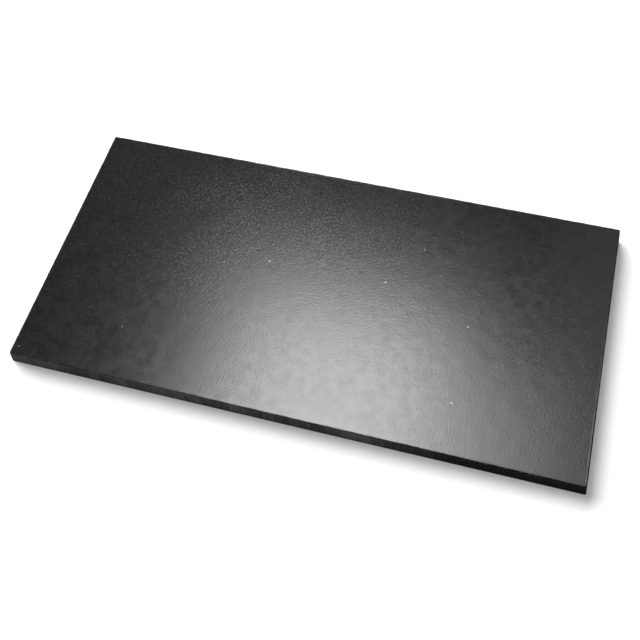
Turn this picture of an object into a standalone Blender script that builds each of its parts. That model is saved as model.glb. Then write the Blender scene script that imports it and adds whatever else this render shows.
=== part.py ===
"""A flat basalt massage slab: one piece of sawn stone with a leathered face and eased edges.

The origin is at the centre of the underside. X runs along the length, Y across the width, Z up.
"""

import bmesh
import bpy

# Overall sizes of the slab, in metres. The length is that of the underside, to its unrounded corners.
LENGTH = 0.300
WIDTH = 0.151
THICKNESS = 0.010

# How much further out each end face stands at the underside than at the working face.
END_LEAN = 0.0016

# Roundings: the four upright corners, the worn edge round the top and the edge round the underside.
CORNER_RADIUS = 0.0008
TOP_EDGE_RADIUS = 0.0006
BOTTOM_EDGE_RADIUS = 0.0006
ROUND_STEPS = 6

# Near-black basalt with a satin finish.
STONE_COLOUR = (0.015, 0.015, 0.015, 1.0)
STONE_ROUGHNESS = 0.35

SMOOTH_ANGLE = 0.6


def clear_scene():
    """Removes whatever the file opened with."""
    for thing in list(bpy.data.objects):
        bpy.data.objects.remove(thing, do_unlink=True)


def stone_material():
    """The dark stone of the slab."""
    material = bpy.data.materials.new("basalt")
    material.use_nodes = True
    shader = material.node_tree.nodes["Principled BSDF"]
    shader.inputs["Base Color"].default_value = STONE_COLOUR
    shader.inputs["Roughness"].default_value = STONE_ROUGHNESS
    shader.inputs["Metallic"].default_value = 0.0
    return material


def sawn_block(mesh):
    """A block whose two end faces lean out towards the underside."""
    bmesh.ops.create_cube(mesh, size=1.0)
    for corner in mesh.verts:
        is_top = corner.co.z > 0
        half_length = LENGTH / 2 - (END_LEAN if is_top else 0)
        corner.co.x = half_length if corner.co.x > 0 else -half_length
        corner.co.y *= WIDTH
        corner.co.z = THICKNESS if is_top else 0


def round_edges(mesh, edges, radius):
    """Rounds a set of edges with an arc of this radius."""
    bmesh.ops.bevel(
        mesh,
        geom=edges,
        offset=radius,
        offset_type="OFFSET",
        segments=ROUND_STEPS,
        profile=0.5,
        affect="EDGES",
        clamp_overlap=False,
    )


def upright_edges(mesh):
    """The edges that join the underside to the top."""
    return [edge for edge in mesh.edges if abs(edge.verts[0].co.z - edge.verts[1].co.z) > THICKNESS / 2]


def rim_edges(mesh, height):
    """The closed rim of edges that lies level at this height."""
    close = THICKNESS / 1000
    return [edge for edge in mesh.edges if all(abs(end.co.z - height) < close for end in edge.verts)]


def slab_mesh():
    """The whole slab: the sawn block with its corners and both rims rounded."""
    mesh = bmesh.new()
    sawn_block(mesh)
    round_edges(mesh, upright_edges(mesh), CORNER_RADIUS)
    round_edges(mesh, rim_edges(mesh, THICKNESS), TOP_EDGE_RADIUS)
    round_edges(mesh, rim_edges(mesh, 0), BOTTOM_EDGE_RADIUS)
    bmesh.ops.recalc_face_normals(mesh, faces=mesh.faces)
    data = bpy.data.meshes.new("stone_slab")
    mesh.to_mesh(data)
    mesh.free()
    return data


def stone_slab():
    """The one sub-part, resting on its underside at the origin."""
    data = slab_mesh()
    data.materials.append(stone_material())
    data.shade_smooth()
    data.set_sharp_from_angle(angle=SMOOTH_ANGLE)
    slab = bpy.data.objects.new("stone_slab", data)
    bpy.context.scene.collection.objects.link(slab)
    return slab


clear_scene()
stone_slab()
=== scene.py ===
import math

import bpy
import numpy as np
from mathutils import Matrix, Vector

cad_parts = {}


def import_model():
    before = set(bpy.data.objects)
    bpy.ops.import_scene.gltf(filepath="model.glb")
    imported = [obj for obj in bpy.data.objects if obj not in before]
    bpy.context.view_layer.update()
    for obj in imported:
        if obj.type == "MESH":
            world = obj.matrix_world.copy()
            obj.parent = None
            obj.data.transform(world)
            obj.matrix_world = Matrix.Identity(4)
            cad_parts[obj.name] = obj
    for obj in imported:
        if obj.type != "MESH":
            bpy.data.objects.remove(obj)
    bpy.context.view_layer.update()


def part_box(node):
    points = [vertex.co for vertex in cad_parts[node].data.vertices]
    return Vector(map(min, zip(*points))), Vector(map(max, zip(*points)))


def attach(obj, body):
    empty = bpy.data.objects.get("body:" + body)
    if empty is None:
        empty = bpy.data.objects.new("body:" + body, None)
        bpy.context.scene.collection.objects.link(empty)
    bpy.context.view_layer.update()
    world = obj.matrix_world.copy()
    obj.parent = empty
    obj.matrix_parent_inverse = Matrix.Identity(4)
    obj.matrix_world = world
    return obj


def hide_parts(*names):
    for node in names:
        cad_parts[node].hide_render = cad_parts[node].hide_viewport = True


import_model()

# ---- Sizes, in metres ----

# The edges of the slab, as the CAD has them.
END_LEAN = 0.0016
CORNER_RADIUS = 0.0008
TOP_RIM_RADIUS = 0.0006
BOTTOM_RIM_RADIUS = 0.0006

# Mesh steps: cells along and across the slab, how many of them one cell of the hidden underside
# spans, the steps of each rounding and of the sides' height, and how many of the top rim's steps
# are satin like the face, give or take a ragged few.
CELLS_LONG = 352
CELLS_WIDE = 176
UNDERSIDE_STEP = 8
CORNER_STEPS = 5
TOP_RIM_STEPS = 8
SATIN_RIM_STEPS = 4
RAGGED_STEPS = 3
SIDE_STEPS = 10
BOTTOM_RIM_STEPS = 3

# Relief that is real geometry: the size of its hollows, its depth, and the seed of its pattern.
SWELL_SIZE = 0.012
SWELL_DEPTH = 0.000005
SWELL_SEED = 3
PEEL_SIZE = 0.0026
PEEL_DEPTH = 0.000003
PEEL_SEED = 5
SAW_MARK_SIZE = 0.0026
SAW_MARK_DEPTH = 0.00003
SAW_MARK_SEED = 17
RIM_WEAR_SIZE = 0.014
RIM_WEAR_DEPTH = 0.00004
RIM_WEAR_SEED = 11

# How many times taller than wide the saw marks are, counted in mesh steps.
SAW_MARK_STRETCH = 6.0

# The rim's wear, in shares of its depth: how far its random values are raised, and the most that a
# place can have. Where a value is still below zero, there is none.
RIM_WEAR_RAISE = 0.3
RIM_WEAR_MOST = 2.2

# Chips on the rim: the deepest one, and the least and most that each of a chip's two cells has of it.
CHIP_DEPTH = 0.00035
CHIP_FIRST_CELL = (0.3, 1.0)
CHIP_SECOND_CELL = (0.0, 0.7)
CHIPS_PER_METRE = 60
CHIP_SEED = 23

# The seed of the ragged line where the satin finish ends.
RAGGED_SEED = 29

# How widely the spots of one pattern differ in size.
SPOT_BAND = 0.18

# ---- The slab's mesh ----

_, SLAB_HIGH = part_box("stone_slab")
HALF_LENGTH = SLAB_HIGH.x
HALF_WIDTH = SLAB_HIGH.y
THICKNESS = SLAB_HIGH.z


def half_length_at(height):
    """Half the slab's length at this height: the ends lean in towards the top."""
    return HALF_LENGTH - END_LEAN * max(height - BOTTOM_RIM_RADIUS, 0.0) / THICKNESS


def side_profile():
    """(height, inset) down one side, from the flat top to the flat underside."""
    top = [
        (
            THICKNESS - TOP_RIM_RADIUS * (1 - math.cos(turn)),
            TOP_RIM_RADIUS * (1 - math.sin(turn)),
        )
        for turn in np.linspace(0, math.pi / 2, TOP_RIM_STEPS + 1)
    ]
    heights = np.linspace(THICKNESS - TOP_RIM_RADIUS, BOTTOM_RIM_RADIUS, SIDE_STEPS + 1)
    side = [(height, 0.0) for height in heights[1:]]
    bottom = [
        (
            BOTTOM_RIM_RADIUS * (1 - math.sin(turn)),
            BOTTOM_RIM_RADIUS * (1 - math.cos(turn)),
        )
        for turn in np.linspace(0, math.pi / 2, BOTTOM_RIM_STEPS + 1)
    ]
    return top + side + bottom[1:]


def straight_reach(height, inset):
    """How far the straight stretches run each way from the middle, and the corner radius there."""
    radius = CORNER_RADIUS - inset
    return half_length_at(height) - inset - radius, HALF_WIDTH - inset - radius, radius


def ring(height, inset):
    """The slab's outline at one height: four straight sides joined by round corners."""
    reach_x, reach_y, radius = straight_reach(height, inset)
    along_x = np.linspace(-reach_x, reach_x, CELLS_LONG + 1)
    along_y = np.linspace(-reach_y, reach_y, CELLS_WIDE + 1)
    sides = [
        [(x, -reach_y - radius) for x in along_x],
        [(reach_x + radius, y) for y in along_y],
        [(x, reach_y + radius) for x in along_x[::-1]],
        [(-reach_x - radius, y) for y in along_y[::-1]],
    ]
    centres = [(reach_x, -reach_y), (reach_x, reach_y), (-reach_x, reach_y), (-reach_x, -reach_y)]
    points = []
    for number, (side, centre) in enumerate(zip(sides, centres)):
        points += side
        start = (number - 1) * math.pi / 2
        for step in range(1, CORNER_STEPS):
            turn = start + step / CORNER_STEPS * math.pi / 2
            points.append((centre[0] + radius * math.cos(turn), centre[1] + radius * math.sin(turn)))
    return [(x, y, height) for x, y in points]


# How many points a ring has, and the first point of each of its four sides.
RING_SIZE = 2 * (CELLS_LONG + CELLS_WIDE + 2) + 4 * (CORNER_STEPS - 1)
SIDE_STARTS = [0]
for cells in (CELLS_LONG, CELLS_WIDE, CELLS_LONG):
    SIDE_STARTS.append(SIDE_STARTS[-1] + cells + CORNER_STEPS)


def flat_grid(height, inset, step):
    """Points of the flat inside of a ring, as rows from front to back."""
    reach_x, reach_y, _ = straight_reach(height, inset)
    along_x = np.linspace(-reach_x, reach_x, CELLS_LONG + 1)[::step]
    along_y = np.linspace(-reach_y, reach_y, CELLS_WIDE + 1)[::step]
    return [(x, y, height) for y in along_y for x in along_x]


def grid_faces(first, ring_first, step):
    """Faces of a flat grid and of the strip that joins it to the ring round it, facing up.

    The grid's points start at number first, the ring's at ring_first. One cell of the grid spans
    step cells of the ring.
    """
    columns = CELLS_LONG // step + 1
    rows = CELLS_WIDE // step + 1

    def inner(column, row):
        return first + row * columns + column

    faces = [
        (inner(c, r), inner(c + 1, r), inner(c + 1, r + 1), inner(c, r + 1))
        for r in range(rows - 1)
        for c in range(columns - 1)
    ]
    edges = [
        [inner(c, 0) for c in range(columns)],
        [inner(columns - 1, r) for r in range(rows)],
        [inner(c, rows - 1) for c in reversed(range(columns))],
        [inner(0, r) for r in reversed(range(rows))],
    ]
    for edge, start in zip(edges, SIDE_STARTS):
        for cell in range(len(edge) - 1):
            outer = [ring_first + start + cell * step + k for k in range(step + 1)]
            faces.append((*outer, edge[cell + 1], edge[cell]))
        corner = start + (len(edge) - 1) * step
        outer = [ring_first + (corner + k) % RING_SIZE for k in range(CORNER_STEPS + 1)]
        faces.append((*outer, edge[-1]))
    return faces


def spotted(shape, cell, size, seed, stretch=1.0):
    """Smooth random heights over a grid, of mean 0 and spread 1.

    The spots are about this size along a row, and that much times stretch across the rows.
    """
    rows, columns = shape
    white = np.random.default_rng(seed).standard_normal(shape)
    wave_y = np.fft.fftfreq(rows, cell)[:, None] * stretch
    wave_x = np.fft.fftfreq(columns, cell)[None, :]
    wave = np.hypot(wave_x, wave_y) * size
    kept = np.exp(-((wave - 1.0) ** 2) / SPOT_BAND)
    heights = np.fft.ifft2(np.fft.fft2(white) * kept).real
    return (heights - heights.mean()) / heights.std()


def spotted_line(count, cell, size, seed):
    """The same along a closed line of points."""
    return spotted((1, count), cell, size, seed)[0]


def chips(count, cell):
    """Depths of a few small chips, each one or two cells wide, along a closed line of points."""
    source = np.random.default_rng(CHIP_SEED)
    depths = np.zeros(count)
    for _ in range(int(count * cell * CHIPS_PER_METRE)):
        place = source.integers(count)
        depths[place] = CHIP_DEPTH * source.uniform(*CHIP_FIRST_CELL)
        depths[(place + 1) % count] = CHIP_DEPTH * source.uniform(*CHIP_SECOND_CELL)
    return depths


def slab_points():
    """The slab's whole skin, still without relief.

    Returns its points and faces, the first point of the rings and of the underside's grid, and
    the first face of the rim.
    """
    profile = side_profile()
    points = flat_grid(*profile[0], 1)
    ring_first = len(points)
    for height, inset in profile:
        points += ring(height, inset)
    last_ring = ring_first + (len(profile) - 1) * RING_SIZE
    under_first = len(points)
    points += flat_grid(*profile[-1], UNDERSIDE_STEP)

    faces = grid_faces(0, ring_first, 1)
    rim_first = len(faces)
    for level in range(len(profile) - 1):
        upper = ring_first + level * RING_SIZE
        lower = upper + RING_SIZE
        for k in range(RING_SIZE):
            following = (k + 1) % RING_SIZE
            faces.append((upper + k, lower + k, lower + following, upper + following))
    faces += [face[::-1] for face in grid_faces(under_first, last_ring, UNDERSIDE_STEP)]
    return np.array(points), faces, ring_first, under_first, rim_first


def add_relief(points, ring_first, under_first):
    """Pushes the points in and out: the leathered top, the worn rim and the sawn sides."""
    cell = 2 * HALF_LENGTH / CELLS_LONG
    shape = (CELLS_WIDE + 1, CELLS_LONG + 1)
    height = SWELL_DEPTH * spotted(shape, cell, SWELL_SIZE, SWELL_SEED)
    height += PEEL_DEPTH * spotted(shape, cell, PEEL_SIZE, PEEL_SEED)
    points[:ring_first, 2] += height.ravel() - height.max()

    rings = points[ring_first:under_first].reshape(-1, RING_SIZE, 3)
    outward = rings[TOP_RIM_STEPS] - rings[0]
    outward[:, 2] = 0
    outward /= np.linalg.norm(outward, axis=1)[:, None]
    wear = spotted_line(RING_SIZE, cell, RIM_WEAR_SIZE, RIM_WEAR_SEED)
    wear = RIM_WEAR_DEPTH * np.clip(wear + RIM_WEAR_RAISE, 0, RIM_WEAR_MOST) + chips(RING_SIZE, cell)
    side_shape = (len(rings), RING_SIZE)
    saw = SAW_MARK_DEPTH * spotted(side_shape, cell, SAW_MARK_SIZE, SAW_MARK_SEED, SAW_MARK_STRETCH)
    for level, outline in enumerate(rings):
        turn = min(level / TOP_RIM_STEPS, 1.0) * math.pi / 2
        on_rim = math.sin(2 * turn)
        on_side = math.sin(turn) if level < len(rings) - BOTTOM_RIM_STEPS else 0.0
        push = -wear * on_rim - np.clip(saw[level] + SAW_MARK_DEPTH, 0, None) * on_side
        outline[:] += outward * (push * math.sin(turn))[:, None]
        outline[:, 2] += push * math.cos(turn) * on_rim


def sawn_faces(count, rim_first):
    """Which faces have the sawn finish: all below a ragged line along the top rim."""
    source = np.random.default_rng(RAGGED_SEED)
    line = SATIN_RIM_STEPS + source.integers(-RAGGED_STEPS, RAGGED_STEPS + 1, RING_SIZE)
    level, place = np.divmod(np.arange(count) - rim_first, RING_SIZE)
    return level >= line[place]


def slab_piece():
    """The visible stone: the CAD slab's shape with its relief, as one mesh."""
    points, faces, ring_first, under_first, rim_first = slab_points()
    add_relief(points, ring_first, under_first)
    data = bpy.data.meshes.new("basalt_slab")
    data.from_pydata(points.tolist(), [], faces)
    data.update()
    data.shade_smooth()
    data.materials.append(face_material())
    data.materials.append(side_material())
    sawn = sawn_faces(len(faces), rim_first)
    data.polygons.foreach_set("material_index", sawn.astype(np.int32))
    slab = bpy.data.objects.new("basalt_slab", data)
    bpy.context.scene.collection.objects.link(slab)
    return slab


# ---- Materials ----

# Where most values of the broad noises lie, and where those of the face's grain lie.
NOISE_RANGE = (0.3, 0.7)
GRAIN_RANGE = (0.32, 0.68)

# The face: sizes of its cloudy patches, of its mottled gloss and of its grain, and how far the
# grain is turned about the upright axis, in radians, and drawn out.
CLOUD_SIZE = 0.03
MOTTLE_SIZE = 0.004
GRAIN_SIZE = 0.0009
GRAIN_TURN = 0.95
GRAIN_STRETCH = (1.5, 1.0, 1.0)

# The patch of the face where the leathering came out coarser: its middle, its reach each way, and
# the share of that reach at which it has faded out. Clouds thin it to as little as the given share.
COARSE_PATCH_CENTRE = (-0.045, 0.060, THICKNESS)
COARSE_PATCH_REACH = (0.13, 0.10, 1.0)
COARSE_PATCH_FADE = 1.2
CLOUD_RANGE = (0.35, 0.6)
CLOUDED_SHARE = 0.6

# The grain's look, away from the patch and in the middle of it: its colour from hollow to top,
# its roughness, and its depth. The colours of both materials are greys.
FINE_COLOUR = (0.0, 0.0125)
COARSE_COLOUR = (0.0, 0.026)
FINE_ROUGHNESS = (0.212, 0.264)
COARSE_ROUGHNESS = 0.185
GRAIN_DEPTH = 0.00013
FINE_DEPTH_SHARE = 0.45
COARSE_DEPTH_SHARE = 1.15

# Bright mineral specks: how far apart they could lie, their radius, the share that is left out,
# and their colour.
SPECK_SPACING = 0.016
SPECK_RADIUS = 0.0003
SPECK_THINNING = 0.94
SPECK_COLOUR = 0.20

# The sawn finish: the width and depth of its saw marks, the width of the patches they come in, and
# how far both are drawn out upwards. Their product runs over SCRATCH_RANGE from dark to pale.
SCRATCH_SIZE = 0.0011
SCRATCH_STRETCH = (1.0, 1.0, 20.0)
SCRATCH_DEPTH = 0.00012
SAW_PATCH_SIZE = 0.012
SAW_PATCH_STRETCH = (1.0, 1.0, 4.0)
SCRATCH_RANGE = (0.14, 0.40)
SAWN_COLOUR = (0.018, 0.062)
SAWN_ROUGHNESS = (0.75, 0.95)
SAWN_SPECULAR = 0.06

# Painted shade at the sides' foot: the heights between which it fades out, and its share of the
# colour.
PAINTED_FOOT_SHADE_HEIGHTS = (0.0008, 0.0022)
PAINTED_FOOT_SHADE_SHARE = 0.25

# Painted shade on the front side towards its right end: where it sets in along the slab, where it
# fades out across it, and its share of the colour.
PAINTED_END_SHADE_ALONG = (0.04, 0.085)
PAINTED_END_SHADE_ACROSS = (-0.07, -0.03)
PAINTED_END_SHADE_SHARE = 0.1

# The floor's grey and its roughness.
FLOOR_COLOUR = 0.92
FLOOR_ROUGHNESS = 0.9


class Nodes:
    """A material's node tree, with short ways to add and join nodes."""

    def __init__(self, name):
        self.material = bpy.data.materials.new(name)
        self.material.use_nodes = True
        self.tree = self.material.node_tree
        self.shader = self.tree.nodes["Principled BSDF"]

    def add(self, kind, inputs=None, **settings):
        node = self.tree.nodes.new(kind)
        for name, value in settings.items():
            setattr(node, name, value)
        for name, value in (inputs or {}).items():
            self.put(node.inputs[name], value)
        return node

    def put(self, socket, value):
        if isinstance(value, bpy.types.NodeSocket):
            self.tree.links.new(value, socket)
        else:
            socket.default_value = value

    def place(self, centre=(0.0, 0.0, 0.0), turn=0.0, stretch=(1.0, 1.0, 1.0)):
        """Object coordinates in metres, from a centre, turned about the upright axis and stretched."""
        inputs = {
            "Vector": self.add("ShaderNodeTexCoord").outputs["Object"],
            "Location": centre,
            "Rotation": (0.0, 0.0, turn),
            "Scale": stretch,
        }
        return self.add("ShaderNodeMapping", inputs, vector_type="TEXTURE").outputs["Vector"]

    def noise(self, size, detail, where=None):
        inputs = {"Scale": 1 / size, "Detail": detail, "Vector": where or self.place()}
        return self.add("ShaderNodeTexNoise", inputs).outputs["Fac"]

    def map(self, value, old, new):
        """The value, spread from the old range over the new one, and held inside it."""
        inputs = {
            "Value": value,
            "From Min": old[0],
            "From Max": old[1],
            "To Min": new[0],
            "To Max": new[1],
        }
        return self.add("ShaderNodeMapRange", inputs).outputs["Result"]

    def math(self, operation, first, second):
        inputs = {0: first, 1: second}
        return self.add("ShaderNodeMath", inputs, operation=operation).outputs["Value"]

    def mix(self, amount, first, second):
        inputs = {"Factor": amount, "A": first, "B": second}
        return self.add("ShaderNodeMix", inputs, data_type="FLOAT").outputs["Result"]

    def length(self, vector):
        return self.add("ShaderNodeVectorMath", {0: vector}, operation="LENGTH").outputs["Value"]

    def parts(self, vector):
        split = self.add("ShaderNodeSeparateXYZ", {"Vector": vector}).outputs
        return split["X"], split["Y"], split["Z"]

    def red(self, colour):
        return self.add("ShaderNodeSeparateColor", {"Color": colour}).outputs["Red"]

    def grey(self, value):
        inputs = {"Red": value, "Green": value, "Blue": value}
        return self.add("ShaderNodeCombineColor", inputs).outputs["Color"]

    def bump(self, height, depth):
        inputs = {"Height": height, "Distance": depth, "Strength": 1.0}
        return self.add("ShaderNodeBump", inputs).outputs["Normal"]

    def finish(self, colour, roughness, normal):
        """Joins the shader's main inputs, and gives back the material."""
        self.put(self.shader.inputs["Base Color"], colour)
        self.put(self.shader.inputs["Roughness"], roughness)
        self.put(self.shader.inputs["Normal"], normal)
        return self.material


def coarse_patch(nodes):
    """How coarse the leathering is: up to 1 in the middle of the patch, and 0 beyond it."""
    reach = nodes.length(nodes.place(COARSE_PATCH_CENTRE, stretch=COARSE_PATCH_REACH))
    patch = nodes.map(reach, (0.0, COARSE_PATCH_FADE), (1.0, 0.0))
    cloud = nodes.map(nodes.noise(CLOUD_SIZE, 3.0), CLOUD_RANGE, (CLOUDED_SHARE, 1.0))
    return nodes.math("MULTIPLY", patch, cloud)


def specks(nodes):
    """1 on the few bright mineral specks, and 0 elsewhere."""
    inputs = {"Vector": nodes.place(), "Scale": 1 / SPECK_SPACING}
    cells = nodes.add("ShaderNodeTexVoronoi", inputs, voronoi_dimensions="2D").outputs
    chosen = nodes.math("GREATER_THAN", nodes.red(cells["Color"]), SPECK_THINNING)
    near = nodes.math("LESS_THAN", cells["Distance"], SPECK_RADIUS / SPECK_SPACING)
    return nodes.math("MULTIPLY", chosen, near)


def face_material():
    """The leathered face: near-black satin stone with a fine grain, coarser in one patch."""
    nodes = Nodes("basalt_leathered")
    coarse = coarse_patch(nodes)
    mottle = nodes.noise(MOTTLE_SIZE, 2.0)
    grain = nodes.noise(GRAIN_SIZE, 3.0, nodes.place(turn=GRAIN_TURN, stretch=GRAIN_STRETCH))

    fine = nodes.map(grain, GRAIN_RANGE, FINE_COLOUR)
    strong = nodes.map(grain, GRAIN_RANGE, COARSE_COLOUR)
    colour = nodes.mix(specks(nodes), nodes.mix(coarse, fine, strong), SPECK_COLOUR)

    satin = nodes.map(mottle, NOISE_RANGE, FINE_ROUGHNESS)
    roughness = nodes.mix(coarse, satin, COARSE_ROUGHNESS)

    depth_share = nodes.map(coarse, (0.0, 1.0), (FINE_DEPTH_SHARE, COARSE_DEPTH_SHARE))
    normal = nodes.bump(nodes.math("MULTIPLY", grain, depth_share), GRAIN_DEPTH)
    return nodes.finish(nodes.grey(colour), roughness, normal)


def side_material():
    """The sawn sides and underside: dull, with upright saw marks; painted shade at the foot and the
    front's right end.
    """
    nodes = Nodes("basalt_sawn")
    along, across, height = nodes.parts(nodes.place())
    saw_marks = nodes.noise(SCRATCH_SIZE, 3.0, nodes.place(stretch=SCRATCH_STRETCH))
    saw_patches = nodes.noise(SAW_PATCH_SIZE, 2.0, nodes.place(stretch=SAW_PATCH_STRETCH))
    scratch = nodes.math("MULTIPLY", saw_marks, saw_patches)

    # Painted shade: the colour darkens at the foot of the sides, next to the floor.
    painted_foot_shade = nodes.map(height, PAINTED_FOOT_SHADE_HEIGHTS, (PAINTED_FOOT_SHADE_SHARE, 1.0))
    # Painted shade: the front side's colour darkens towards its right end.
    right_end = nodes.map(along, PAINTED_END_SHADE_ALONG, (0.0, 1.0))
    front = nodes.map(across, PAINTED_END_SHADE_ACROSS, (1.0, 0.0))
    painted_end_shade = nodes.map(nodes.math("MULTIPLY", right_end, front), (0.0, 1.0), (1.0, PAINTED_END_SHADE_SHARE))
    colour = nodes.map(scratch, SCRATCH_RANGE, SAWN_COLOUR)
    colour = nodes.math("MULTIPLY", nodes.math("MULTIPLY", colour, painted_foot_shade), painted_end_shade)

    nodes.shader.inputs["Specular IOR Level"].default_value = SAWN_SPECULAR
    roughness = nodes.map(saw_patches, NOISE_RANGE, SAWN_ROUGHNESS)
    return nodes.finish(nodes.grey(colour), roughness, nodes.bump(saw_marks, SCRATCH_DEPTH))


def floor_material():
    """A plain matt white floor."""
    nodes = Nodes("floor")
    nodes.shader.inputs["Base Color"].default_value = (FLOOR_COLOUR, FLOOR_COLOUR, FLOOR_COLOUR, 1)
    nodes.shader.inputs["Roughness"].default_value = FLOOR_ROUGHNESS
    nodes.shader.inputs["Specular IOR Level"].default_value = 0.0
    return nodes.material


# ---- Stage, light and camera ----

# How far the floor runs each way from the slab.
FLOOR_REACH = 6.0

# Azimuths below are measured from +Y towards +X, and elevations upwards, both as seen from the slab.

# The camera: its place, the azimuth and elevation that it looks from, its roll, its lens and sensor
# in millimetres, and the nearest distance that it shows.
CAMERA_PLACE = (0.08166, -0.23765, 0.41518)
CAMERA_AZIMUTH = math.radians(160.525)
CAMERA_ELEVATION = math.radians(60.117)
CAMERA_ROLL = math.radians(-5.01776)
CAMERA_LENS = 50.342
CAMERA_SENSOR = 36
CAMERA_NEAREST = 0.01

# Level panels over the slab, at one height: their (x, y) corners at the front left and the back
# right, and their radiance.
LEVEL_PANEL_HEIGHT = 0.81
LEVEL_PANELS = {
    "key": ((-0.268, -0.1), (0.057, 0.459), 15.2),
    "key_front": ((-0.20, -0.6), (-0.05, -0.1), 11.0),
    "key_side": ((0.057, -0.2), (0.222, 0.380), 5.1),
    "key_far": ((0.215, -0.1), (0.40, 0.9), 0.75),
}

# Low panels that face the slab, for its sheen in low views: azimuth and elevation in degrees, and
# width and height.
SHEEN_DISTANCE = 2.0
SHEEN_RADIANCE = 0.5
SHEEN_PANELS = {
    "sheen_back": (-45, 32, 1.2, 0.5),
    "sheen_front": (135, 18, 1.2, 0.4),
}

# Distant lights: one shines along the view, and one casts the soft shadow.
FILL_STRENGTH = 1.2
FILL_SPREAD = math.radians(20)
SHADE_AZIMUTH = math.radians(-52)
SHADE_ELEVATION = math.radians(29)
SHADE_STRENGTH = 7.6
SHADE_SPREAD = math.radians(67)

# The surround's brightness, where the camera sees it and for everything else.
BACKDROP_STRENGTH = 1.0
ROOM_STRENGTH = 0.02


def direction_from(azimuth, elevation):
    """The way down to the slab from this azimuth and elevation."""
    level = math.cos(elevation)
    return Vector((-math.sin(azimuth) * level, -math.cos(azimuth) * level, -math.sin(elevation)))


def aimed(location, direction, roll=0.0):
    """A matrix at this place whose -Z points along the direction, rolled about it."""
    forward = direction.normalized()
    level = forward.cross(Vector((0, 0, 1))).normalized()
    upright = level.cross(forward)
    right = level * math.cos(roll) + upright * math.sin(roll)
    up = upright * math.cos(roll) - level * math.sin(roll)
    turned = Matrix((right, up, -forward)).transposed()
    return Matrix.Translation(location) @ turned.to_4x4()


def floor():
    """A white floor under the slab."""
    data = bpy.data.meshes.new("floor")
    signs = [(-1, -1), (1, -1), (1, 1), (-1, 1)]
    corners = [(x * FLOOR_REACH, y * FLOOR_REACH, 0) for x, y in signs]
    data.from_pydata(corners, [], [(0, 1, 2, 3)])
    data.materials.append(floor_material())
    plane = bpy.data.objects.new("floor", data)
    bpy.context.scene.collection.objects.link(plane)


def panel(name, width, height, radiance):
    """A rectangular light that is seen only in reflections."""
    data = bpy.data.lights.new(name, "AREA")
    data.shape = "RECTANGLE"
    data.size = width
    data.size_y = height
    data.energy = radiance * math.pi * width * height
    lamp = bpy.data.objects.new(name, data)
    lamp.visible_camera = False
    lamp.visible_diffuse = False
    bpy.context.scene.collection.objects.link(lamp)
    return lamp


def level_panel(name, low, high, radiance):
    """A level panel over the slab, from one (x, y) corner to the other, facing down."""
    lamp = panel(name, high[0] - low[0], high[1] - low[1], radiance)
    lamp.location = ((low[0] + high[0]) / 2, (low[1] + high[1]) / 2, LEVEL_PANEL_HEIGHT)


def sheen_panel(name, azimuth, elevation, width, height):
    """A low panel that faces the slab."""
    inward = direction_from(math.radians(azimuth), math.radians(elevation))
    lamp = panel(name, width, height, SHEEN_RADIANCE)
    lamp.matrix_world = aimed(inward * -SHEEN_DISTANCE, inward)


def sun_light(name, direction, strength, spread):
    """A distant light that shines along the direction, and isn't itself seen in reflections."""
    data = bpy.data.lights.new(name, "SUN")
    data.energy = strength
    data.angle = spread
    lamp = bpy.data.objects.new(name, data)
    lamp.visible_glossy = False
    lamp.matrix_world = aimed((0, 0, 1), direction)
    bpy.context.scene.collection.objects.link(lamp)


def world():
    """An even surround: a pale backdrop behind the slab, and a dim room round it."""
    surround = bpy.data.worlds.new("surround")
    surround.use_nodes = True
    tree = surround.node_tree
    background = tree.nodes["Background"]
    background.inputs["Color"].default_value = (1, 1, 1, 1)
    seen = tree.nodes.new("ShaderNodeLightPath").outputs["Is Camera Ray"]
    level = tree.nodes.new("ShaderNodeMapRange")
    level.inputs["To Min"].default_value = ROOM_STRENGTH
    level.inputs["To Max"].default_value = BACKDROP_STRENGTH
    tree.links.new(seen, level.inputs["Value"])
    tree.links.new(level.outputs["Result"], background.inputs["Strength"])
    bpy.context.scene.world = surround


def camera(direction):
    """The camera, above the front right of the slab, looking down at it."""
    data = bpy.data.cameras.new("camera")
    data.lens = CAMERA_LENS
    data.sensor_width = CAMERA_SENSOR
    data.clip_start = CAMERA_NEAREST
    eye = bpy.data.objects.new("camera", data)
    eye.matrix_world = aimed(CAMERA_PLACE, direction, CAMERA_ROLL)
    bpy.context.scene.collection.objects.link(eye)
    bpy.context.scene.camera = eye


slab = slab_piece()
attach(slab, "root")
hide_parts("stone_slab")

floor()
view_direction = direction_from(CAMERA_AZIMUTH, CAMERA_ELEVATION)
camera(view_direction)
for name, place in LEVEL_PANELS.items():
    level_panel(name, *place)
for name, place in SHEEN_PANELS.items():
    sheen_panel(name, *place)
sun_light("fill", view_direction, FILL_STRENGTH, FILL_SPREAD)
sun_light("shade", direction_from(SHADE_AZIMUTH, SHADE_ELEVATION), SHADE_STRENGTH, SHADE_SPREAD)
world()
bpy.context.scene.view_settings.view_transform = "Standard"
